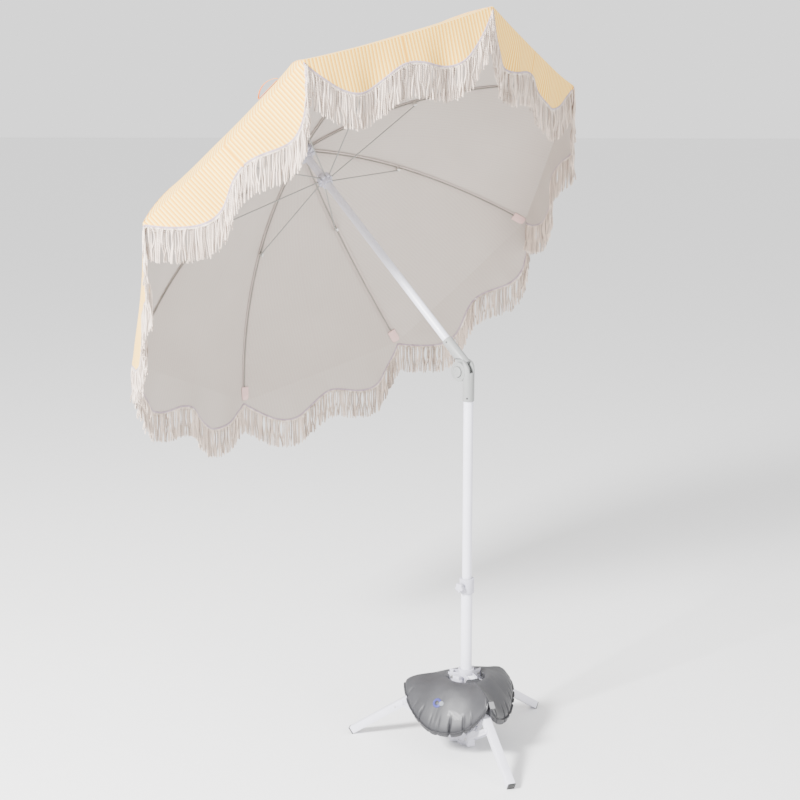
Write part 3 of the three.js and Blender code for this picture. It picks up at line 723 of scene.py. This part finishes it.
def evenly(points, others, spacing):
    """Samples of a line, and of vectors on it, at an even spacing along it."""
    lengths = np.r_[0, np.cumsum(np.linalg.norm(np.diff(points, axis=0), axis=1))]
    places = np.arange(spacing / 2, lengths[-1], spacing)
    at = np.stack([np.interp(places, lengths, points[:, i]) for i in range(3)], 1)
    with_them = np.stack([np.interp(places, lengths, others[:, i]) for i in range(3)], 1)
    return at, with_them / np.linalg.norm(with_them, axis=1)[:, None]


def trim(k):
    """The braid along the hem: a piped edge over a looped heading."""
    points, drops = hem_line(k, 240)
    points, drops = evenly(points, drops, 0.0035)
    turn = np.arange(len(points))
    piping = []
    for i in turn:
        swell = 1 + 0.16 * math.sin(i * 2.1)
        piping.append(rounded_outline(0.0026 * swell, 0.0036, 2.4, 10))
    rope = sweep_piece(f"trim_piping_{k + 1}", points, piping, drops, TRIM)
    heading = []
    for i in turn:
        swell = 1 + 0.22 * math.sin(i * math.pi * 0.9)
        heading.append(rounded_outline(0.0021 * swell, HEADER / 2, 3.0, 12))
    band = sweep_piece(f"fringe_heading_{k + 1}", points + drops * (HEADER / 2 + 0.001), heading,
                       drops, COTTON)
    for piece in (rope, band):
        soft_on(piece, f"flap{k + 1}")


def fringe(k):
    """Twisted cotton strands that hang straight down from the heading."""
    hem, drops = hem_line(k)
    starts, drops = evenly(hem, drops, FRINGE_SPACING)
    count = len(starts)
    rings, sides = 34, 6
    share = np.linspace(0, 1, rings)
    lengths = FRINGE_LENGTH * (0.93 + 0.11 * rng.random(count))
    lean = rng.normal(0, 0.016, (count, 2))
    clump = np.array([[math.sin(i * 0.55 + k), math.cos(i * 0.37 + 2 * k)] for i in range(count)])
    lean = lean + clump * 0.018
    bow = rng.normal(0, 0.0030, (count, 2))
    begin = starts + drops * HEADER * 0.5
    line = np.zeros((count, rings, 3))
    fall = lengths[:, None] * share[None, :]
    for axis in (0, 1):
        line[:, :, axis] = (
            begin[:, None, axis]
            + lean[:, None, axis] * fall
            + bow[:, None, axis] * np.sin(share * 5.0 + axis)[None, :]
        )
    line[:, :, 2] = begin[:, None, 2] - fall
    radius = 0.0022 * (0.9 + 0.2 * rng.random(count))
    taper = np.where(share > 0.95, np.sqrt(np.clip(1 - ((share - 0.95) / 0.05) ** 2, 0, 1)), 1)
    taper = np.maximum(taper, 0.25)
    phase = rng.random(count) * 6.28
    twist = share * 2 * math.pi * 7.5
    around = np.arange(sides) / sides * 2 * math.pi
    lobes = 1 + 0.30 * np.cos(2 * around)  # two plies
    angle = around[None, None, :] + twist[None, :, None] + phase[:, None, None]
    size = radius[:, None, None] * taper[None, :, None] * lobes[None, None, :]
    points = np.repeat(line[:, :, None, :], sides, axis=2)
    points[..., 0] += size * np.cos(angle)
    points[..., 1] += size * np.sin(angle)
    one = tube_quads(rings, sides)
    ends = np.array([[0, 3, 2, 1], [0, 5, 4, 3]])
    last = (rings - 1) * sides + np.array([[0, 1, 2, 3], [0, 3, 4, 5]])
    one = np.concatenate([one[:, ::-1], ends[:, ::-1], last[:, ::-1]])
    quads = (one[None] + (np.arange(count) * rings * sides)[:, None, None]).reshape(-1, 4)
    mesh = fast_mesh(f"fringe_{k + 1}", points, quads)
    shades = np.broadcast_to(rng.random(count)[:, None, None], (count, rings, sides))
    # UV Y: the place around the strand, which the strand yarn turns into ply bumps and painted shade in
    # the grooves.
    plies = np.broadcast_to((around / math.pi + 0.5)[None, None, :], (count, rings, sides))
    uvs = np.stack([shades, plies], -1).reshape(-1, 2)
    layer = mesh.uv_layers.new(name="cloth")
    corner = np.zeros(len(mesh.loops), np.int32)
    mesh.loops.foreach_get("vertex_index", corner)
    layer.data.foreach_set("uv", uvs[corner].astype(np.float32).ravel())
    piece = new_object(mesh.name, mesh, STRANDS)
    soft_on(piece, f"flap{k + 1}")
    return count


# ---------- ribs and struts ----------
JOINT_ANGLE = math.asin(0.424 / (DOME_RADIUS - RIB_DEPTH))
JOINT_DROP = 0.008
STRUT_ASIDE = 0.0065


def rib(k):
    start = math.asin(0.026 / (DOME_RADIUS - RIB_DEPTH))
    angles = np.linspace(start, RIM_ANGLE - 0.012 / DOME_RADIUS, 70)
    points = [ridge_point(k, a, RIB_DEPTH) for a in angles]
    rod = sweep_piece(f"rib_rod_{k + 1}", points, circle(RIB_RADIUS, 14), AROUND[k], RIB_PAINT)
    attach(rod, f"rib{k + 1}")
    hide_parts(f"rib_{k + 1}")
    middle = ridge_point(k, JOINT_ANGLE, RIB_DEPTH)
    up = (middle - CENTRE).normalized()
    outwards = AROUND[k].cross(up)
    clip_line = [middle + up * z for z in np.linspace(0.0026, -0.0125, 9)]
    bracket = sweep_piece(f"rib_bracket_{k + 1}", clip_line,
                          rounded_outline(0.0036, 0.006, 6, 24), outwards, STEEL)
    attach(bracket, f"rib{k + 1}")
    pin = middle - up * JOINT_DROP
    rivet = [(0, -0.0048), (0.0022, -0.0048), (0.0026, -0.0040), (0.0012, -0.0036),
             (0.0012, 0.0090), (0.0026, 0.0093), (0.0022, 0.0102), (0, 0.0102)]
    head = turned_piece(f"rib_rivet_{k + 1}", rivet, pin, AROUND[k], STEEL, sides=16)
    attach(head, f"rib{k + 1}")


def strut(k):
    low = Vector(joints[f"strut_{k + 1}_fold"]["pos_m"])
    high = ridge_point(k, JOINT_ANGLE, RIB_DEPTH + JOINT_DROP) + AROUND[k] * STRUT_ASIDE
    share = np.concatenate([np.linspace(-0.009, 0.035, 8), np.linspace(0.06, 0.94, 10),
                            np.linspace(0.965, 1.009, 8)])
    points, outlines = [], []
    for s in share:
        points.append(low.lerp(high, s))
        near = min(1, max(0, min(s + 0.009, 1.009 - s) / 0.035))
        blend = near * near * (3 - 2 * near)
        side = 0.0013 + 0.0008 * blend
        tall = 0.0042 + (0.0021 - 0.0042) * blend
        if s < -0.006 or s > 1.006:
            tall *= 0.6
        outlines.append(rounded_outline(tall, side, 2.4, 14))
    rod = sweep_piece(f"strut_rod_{k + 1}", points, outlines, AROUND[k], STRUT_PAINT)
    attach(rod, f"strut{k + 1}")
    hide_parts(f"strut_{k + 1}")
    rivet = [(0, -0.0022), (0.002, -0.0022), (0.002, 0.0022), (0, 0.0022)]
    pin = turned_piece(f"strut_rivet_{k + 1}", rivet, low, AROUND[k], STEEL, sides=14)
    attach(pin, f"strut{k + 1}")


# ---------- hard parts ----------
def hard_parts():
    """Every turned, cut and bent part, with clean edges and its own finish."""
    finishes = {
        WHITE_PAINT: ["stand_tube", "foot_hub", "lower_pole", "upper_pole"]
        + [f"leg_{k + 1}" for k in range(LEGS)] + [f"brace_{k + 1}" for k in range(LEGS)],
        WHITE_PLASTIC: ["clamp_collar", "clamp_knob", "leg_hub", "hub_knob", "crown", "finial",
                        "runner", "runner_catch"],
        GREY_PLASTIC: ["tilt_lower", "tilt_upper", "tilt_button"],
        STEEL: ["tilt_bolt"] + [f"hub_pin_{k + 1}" for k in range(LEGS)]
        + [f"brace_pin_{k + 1}" for k in range(LEGS)],
        BLACK: ["pole_plug"] + [f"foot_cap_{k + 1}" for k in range(LEGS)],
    }
    wide = {"clamp_knob": 0.0016, "hub_knob": 0.0018, "tilt_lower": 0.0014, "tilt_upper": 0.0014,
            "tilt_button": 0.0012, "clamp_collar": 0.0012, "leg_hub": 0.0009, "crown": 0.0010,
            "runner": 0.0008, "finial": 0.0010}
    for finish, nodes in finishes.items():
        for node in nodes:
            piece = refined(node, finish, wide.get(node, 0.0005))


def small_screw(name, body, place, outwards, radius=0.0032, material=STEEL):
    """A domed head with a cross recess."""
    profile = [(0, -0.0006), (radius, -0.0006), (radius, 0.0003), (radius * 0.8, 0.0010),
               (radius * 0.35, 0.0013), (radius * 0.3, 0.0006), (0, 0.0006)]
    piece = turned_piece(name, profile, place, outwards, material, sides=18)
    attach(piece, body)


def knuckle_details():
    """Rings round the button and the sleeve screws of the tilt knuckle."""
    for i, (radius, height) in enumerate(((0.0285, 0.0204), (0.0225, 0.0206))):
        profile = [(radius - 0.0012, 0.019), (radius - 0.0008, height), (radius + 0.0008, height),
                   (radius + 0.0012, 0.019)]
        profile.append(profile[0])
        ring = turned_piece(f"knuckle_ring_{i + 1}", profile, KNUCKLE, SIDEWAYS, GREY_PLASTIC, sides=48)
        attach(ring, "mast")
    dimple = [(0.0068, 0.0258), (0.0074, 0.0267), (0.0088, 0.0267), (0.0094, 0.0258), (0.0068, 0.0258)]
    ring = turned_piece("button_ring", dimple, KNUCKLE, SIDEWAYS, GREY_PLASTIC, sides=40)
    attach(ring, "button")
    front = Vector((-0.25, -1, 0)).normalized()
    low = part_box("tilt_lower")[0].z + 0.011
    small_screw("sleeve_screw_low", "mast", Vector((0, 0, low)) + front * 0.0189, front, 0.0030,
                BLACK)
    facing = (SIDEWAYS * 0.9 - DOWNHILL * 0.3).normalized()
    place = POLE_FOOT + AXIS * 0.100 + facing * 0.0182
    small_screw("sleeve_screw_high", "head", place, facing, 0.0028, BLACK)


def stand_details():
    """Rivets on the foot hub, and on the legs at the braces."""
    for k in range(LEGS):
        turn = Vector(joints[f"leg_{k + 1}_fold"]["axis"])
        pivot = Vector(joints[f"brace_{k + 1}_fold"]["pos_m"])
        for side in (-1, 1):
            small_screw(f"foot_rivet_{k + 1}_0_{side + 1}", "stand", pivot + turn * side * 0.0180,
                        turn * side, 0.004)
        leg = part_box(f"foot_cap_{k + 1}")
        hip = Vector(joints[f"leg_{k + 1}_fold"]["pos_m"])
        foot = (leg[0] + leg[1]) / 2
        way = (foot - hip).normalized()
        for i, reach in enumerate((0.2018, 0.232)):
            for side in (-1, 1):
                place = hip + way * reach + turn * side * 0.0125
                small_screw(f"leg_rivet_{k + 1}_{i}_{side + 1}", f"leg{k + 1}", place, turn * side,
                            0.003)


def strap():
    """The closing strap: a narrow band in a loose loop on the outside, near tip 1."""
    lap = np.linspace(0, 1, 34)
    points = []
    for s in lap:
        across = -(0.22 + 0.30 * s)
        lift = 0.0035 + 0.019 * math.sin(math.pi * min(1, s * 1.02)) ** 0.7
        points.append(cloth_point(0, RIM_ANGLE - 0.150, across, -lift))
    for s in lap[1:]:
        across = -(0.52 - 0.28 * s)
        points.append(cloth_point(0, RIM_ANGLE - 0.150, across, -0.0014 - 0.002 * (1 - s)))
    ups = [(p - CENTRE).normalized() for p in points]
    band = sweep_piece("closing_strap", points, rounded_outline(0.0105, 0.0007, 5, 12), ups, STRAP)
    soft_on(band, "rib1")


# ---------- water bag ----------
BAG_INNER, BAG_TOP, BAG_UP, BAG_DOWN = 0.062, 0.222, 0.022, 0.042
RIDGE_RIM, RIDGE_DROP, RIDGE_POWER = 0.206, 0.026, 1.3  # over each leg
LOBE_POWER = 1.5  # between two legs
LEG_AZIMUTHS = [
    math.atan2(joints[f"leg_{k + 1}_fold"]["pos_m"][1], joints[f"leg_{k + 1}_fold"]["pos_m"][0])
    for k in range(LEGS)
]
FRONT_LEG = LEG_AZIMUTHS[1]
KNOB_AZIMUTH = LEG_AZIMUTHS[0] + math.pi / 3
LEG_HALF, LEG_SLOPE = 0.0125, math.radians(32.60)
LEG_PIVOT_R, LEG_PIVOT_Z = 0.045, 0.235
CREASES = [(turn + rng.uniform(-0.09, 0.09), rng.uniform(0.12, 0.85), rng.uniform(0.012, 0.028))
           for turn in np.linspace(0, 2 * math.pi, 27, endpoint=False)]


def smooth(x):
    x = min(1.0, max(0.0, x))
    return x * x * (3 - 2 * x)


def leg_top(r):
    return LEG_PIVOT_Z - (r - LEG_PIVOT_R) * math.tan(LEG_SLOPE) + LEG_HALF / math.cos(LEG_SLOPE)


def turned_by(a, b):
    """Signed difference of two azimuths."""
    return math.remainder(a - b, 2 * math.pi)


def over_leg(azimuth):
    """1 over a leg, falling to 0 between two legs, and faster beside the front leg."""
    nearest = min(LEG_AZIMUTHS, key=lambda leg: abs(turned_by(azimuth, leg)))
    away = math.hypot(turned_by(azimuth, nearest) * LEGS / math.pi, 0.03)
    return max(0.0, 1.03 - away) ** (4.5 if nearest == FRONT_LEG else 1.5)


def bag_rim(azimuth):
    """Radius of the bag's rim, which is widest over the legs and beside the knob."""
    swing = azimuth - KNOB_AZIMUTH
    lobe = 0.1647 + 0.0153 * math.cos(swing) - 0.0058 * math.sin(swing)
    return lobe + (RIDGE_RIM - lobe) * over_leg(azimuth)


def bag_point(share, azimuth, over):
    """Point of the bag at a share of the way out, on its top or its underside."""
    legs = over_leg(azimuth)
    outer = bag_rim(azimuth)
    hang = 0.1007 + 0.0213 * math.cos(azimuth - KNOB_AZIMUTH)
    drop = hang + (RIDGE_DROP - hang + 0.006 * math.sin(azimuth)) * legs
    power = LOBE_POWER + (RIDGE_POWER - LOBE_POWER) * legs
    crease = 0.0
    for place, depth, width in CREASES:
        crease = max(crease, depth * math.exp(-((turned_by(azimuth, place) / width) ** 2)))
    near_rim = smooth((share - 0.80) / 0.20)
    pucker = crease * near_rim * (1 - 0.6 * legs)
    slit = math.exp(-((turned_by(azimuth, FRONT_LEG) * 0.2 / 0.006) ** 2))
    notch = slit * smooth((share - 0.80) / 0.2)
    r = BAG_INNER + (outer - 0.010 * pucker - 0.016 * notch - BAG_INNER) * share
    swell = max(0.0, 1 - abs(2 * share**0.9 - 1) ** 3) ** (1 / 3)
    swell *= 1 - 0.42 * pucker - 0.45 * notch
    middle = BAG_TOP - drop * share**power + 0.012 * notch
    z = middle + (BAG_UP if over else -BAG_DOWN) * swell
    place = Vector((r * math.cos(azimuth), r * math.sin(azimuth), z))
    z += noise.noise(place * 11) * 0.0035 + noise.noise(place * 34) * 0.0008
    for leg in LEG_AZIMUTHS:
        swing = turned_by(azimuth, leg)
        aside = abs(math.sin(swing)) * r if abs(swing) < 1.2 else 1.0
        ease = smooth((0.030 - aside) / 0.012)
        lowest = leg_top(r) + (0.0045 if over else 0.0018)
        if z < lowest:
            z += (lowest - z) * ease
    return Vector((place.x, place.y, z))


def bag_rows():
    """Shares of the bag's sections, closer together towards the seams."""
    return (1 - np.cos(np.linspace(0, math.pi, 40))) / 2


def water_bag():
    """A filled vinyl ring draped over the legs, puckered at its welded rim."""
    columns = 540
    shares = bag_rows()
    points = []
    for azimuth in np.linspace(0, 2 * math.pi, columns, endpoint=False):
        points += [bag_point(s, azimuth, True) for s in shares]
        points += [bag_point(s, azimuth, False) for s in shares[-2:0:-1]]
    sides = len(points) // columns
    i, j = np.meshgrid(np.arange(columns), np.arange(sides), indexing="ij")
    n, k = (i + 1) % columns, (j + 1) % sides
    quads = np.stack([i * sides + j, n * sides + j, n * sides + k, i * sides + k], -1)
    mesh = fast_mesh("water_bag_skin", points, quads)
    face_outwards(mesh)
    sharpen(mesh, 70)
    bag = new_object("water_bag_skin", mesh, VINYL)
    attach(bag, "hub")
    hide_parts("water_bag")


def bag_welds():
    """The flat welded seams along the bag's rim and round its hole."""
    for name, share, out, width in (("bag_weld_outer", 1.0, 0.0022, 0.0042),
                                    ("bag_weld_inner", 0.0, -0.0012, 0.0026)):
        points = []
        for azimuth in np.linspace(0, 2 * math.pi, 541):
            place = bag_point(share, azimuth, True)
            outwards = Vector((math.cos(azimuth), math.sin(azimuth), -0.35 * share))
            points.append(place + outwards * out)
        rings = swept(points, rounded_outline(width, 0.0009, 4, 10), (0, 0, 1))
        rings = rings[:-1]
        count, sides = rings.shape[:2]
        i, j = np.meshgrid(np.arange(count), np.arange(sides), indexing="ij")
        n, k = (i + 1) % count, (j + 1) % sides
        quads = np.stack([i * sides + j, n * sides + j, n * sides + k, i * sides + k], -1)
        mesh = fast_mesh(name, rings, quads)
        face_outwards(mesh)
        weld = new_object(name, mesh, VINYL)
        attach(weld, "hub")


def share_at(r, azimuth):
    """The bag's share at a radius."""
    return (r - BAG_INNER) / (bag_rim(azimuth) - BAG_INNER)


def bag_fittings():
    """The filling valve with its ring, plug and cap, and the tab above the front leg."""
    azimuth, r = math.radians(228), 0.141
    share = share_at(r, azimuth)
    centre = bag_point(share, azimuth, True)
    outwards = bag_point(share + 0.05, azimuth, True) - bag_point(share - 0.05, azimuth, True)
    sideways = bag_point(share, azimuth + 0.05, True) - bag_point(share, azimuth - 0.05, True)
    normal = outwards.cross(sideways).normalized()
    if normal.z < 0:
        normal = -normal
    sideways = sideways.normalized()
    base = centre - normal * 0.0012
    ring = [(0.0078, 0), (0.0150, 0), (0.0160, 0.0012), (0.0146, 0.0036), (0.0108, 0.0050),
            (0.0078, 0.0034), (0.0078, 0)]
    outer = turned_piece("valve_ring", ring, base, normal, VALVE_BLUE, sides=40)
    plug = [(0, 0.0005), (0.0077, 0.0005), (0.0077, 0.0022), (0.0060, 0.0030), (0, 0.0024)]
    inner = turned_piece("valve_plug", plug, base, normal, BLACK, sides=32)
    cap_at = base + sideways * 0.0175 + outwards.normalized() * -0.004 + normal * 0.0022
    cap = [(0, 0), (0.0075, 0), (0.0080, 0.0025), (0.0062, 0.0042), (0, 0.0046)]
    lid = turned_piece("valve_lid", cap, cap_at, (normal + sideways * 0.5).normalized(), CLEAR_CAP,
                       sides=28)
    for piece in (outer, inner, lid):
        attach(piece, "hub")
    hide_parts("bag_valve")
    middle = bag_point(1.0, FRONT_LEG, True) + Vector((0.012, 0, -0.004))
    ahead = Vector((math.cos(FRONT_LEG), math.sin(FRONT_LEG), -0.9)).normalized()
    points = [middle + ahead * x + Vector((0, 0, 0.0035)) for x in np.linspace(0.000, 0.024, 10)]
    ups = [Vector((math.cos(FRONT_LEG), math.sin(FRONT_LEG), 1)).normalized()] * 10
    tab = sweep_piece("bag_tab", points, rounded_outline(0.0085, 0.0012, 6, 16), ups, TAB)
    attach(tab, "hub")


# ---------- build ----------
camera()
studio()
hard_parts()
knuckle_details()
stand_details()
for k in range(RIBS):
    sector(k)
    seams(k)
    pocket(k)
    rib(k)
    strut(k)
    flap(k)
    trim(k)
    fringe(k)
strap()
water_bag()
bag_welds()
bag_fittings()
